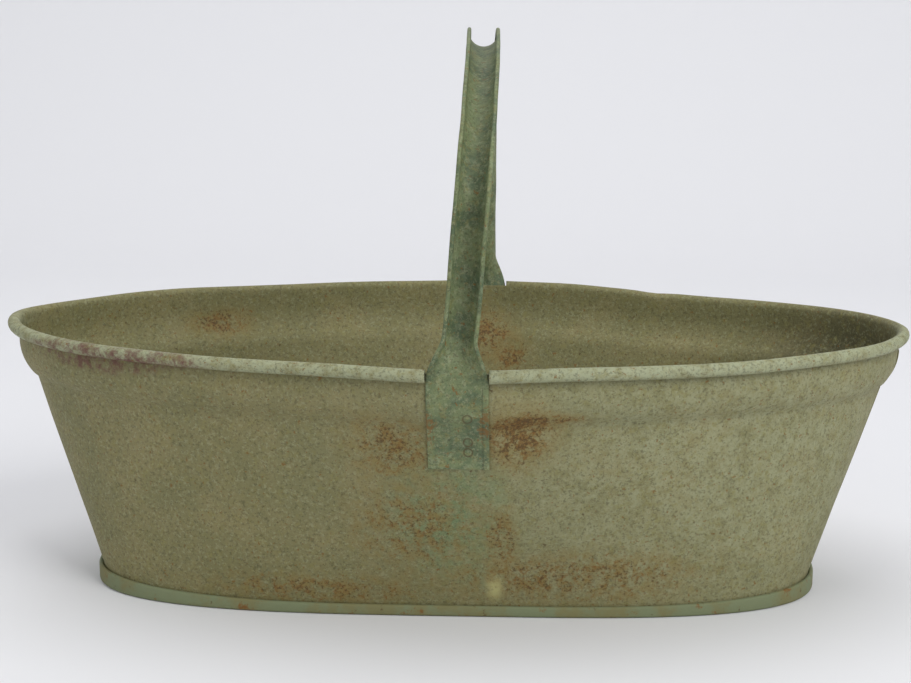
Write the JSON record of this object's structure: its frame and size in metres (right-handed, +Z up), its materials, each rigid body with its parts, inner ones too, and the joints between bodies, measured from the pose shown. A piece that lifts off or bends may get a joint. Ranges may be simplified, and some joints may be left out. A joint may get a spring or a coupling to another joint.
{
  "type": "garden trug",
  "caption": "Oval painted sheet-metal trug with flared walls, wired rim, double-seamed base and a fixed channel-strip handle over the middle.",
  "frame": {"origin": "middle of the footprint of the whole trug, on the ground", "axes": "+X along the rim's length towards the right end, +Y away from the viewer across the width, +Z up"},
  "size_m": [0.5166, 0.2946, 0.3156],
  "materials": {
    "wall_paint": "worn matte",
    "base_paint": "worn matte",
    "handle_paint": "worn matte",
    "wire_steel": "dull"
  },
  "bodies": {
    "root": {"front_wall": "wall_paint", "rear_wall": "wall_paint", "base_pan": "base_paint", "handle": "handle_paint", "rim_wire_left": "wire_steel", "rim_wire_right": "wire_steel", "front_tab_welds": "handle_paint", "rear_tab_welds": "handle_paint"}
  },
  "joints": []
}
